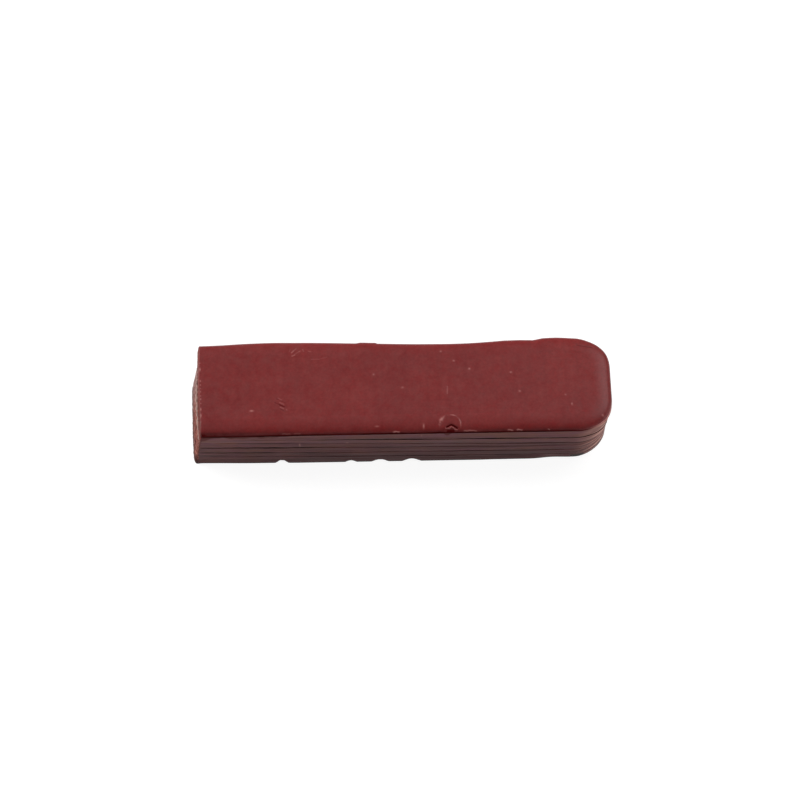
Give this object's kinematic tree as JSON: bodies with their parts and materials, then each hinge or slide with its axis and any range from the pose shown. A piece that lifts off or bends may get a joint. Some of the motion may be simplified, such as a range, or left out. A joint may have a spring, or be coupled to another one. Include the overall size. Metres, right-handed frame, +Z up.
{
  "type": "wood repair wax stick",
  "caption": "Flat dark-red wax bar for filling scratches and dents in wood, round at the nose and cut off at the other end, cast in thin layers whose seams show along its sides.",
  "frame": {"origin": "on the flat face the bar rests on, at the middle of its box", "axes": "+X along the bar from the cut end to the rounded nose, +Y to the back edge that waves, +Z up through the crown"},
  "size_m": [0.08, 0.0202, 0.0122],
  "materials": {
    "crown_wax": "pigmented hard wax, mahogany red, satin cast skin with fine scratches",
    "side_wax": "pigmented hard wax, mahogany red under a greyish bloom, dull moulded sides"
  },
  "bodies": {
    "root": {"top_layer": "crown_wax", "upper_layer": "side_wax", "upper_middle_layer": "side_wax", "lower_middle_layer": "side_wax", "lower_layer": "side_wax", "base_layer": "side_wax"}
  },
  "joints": []
}
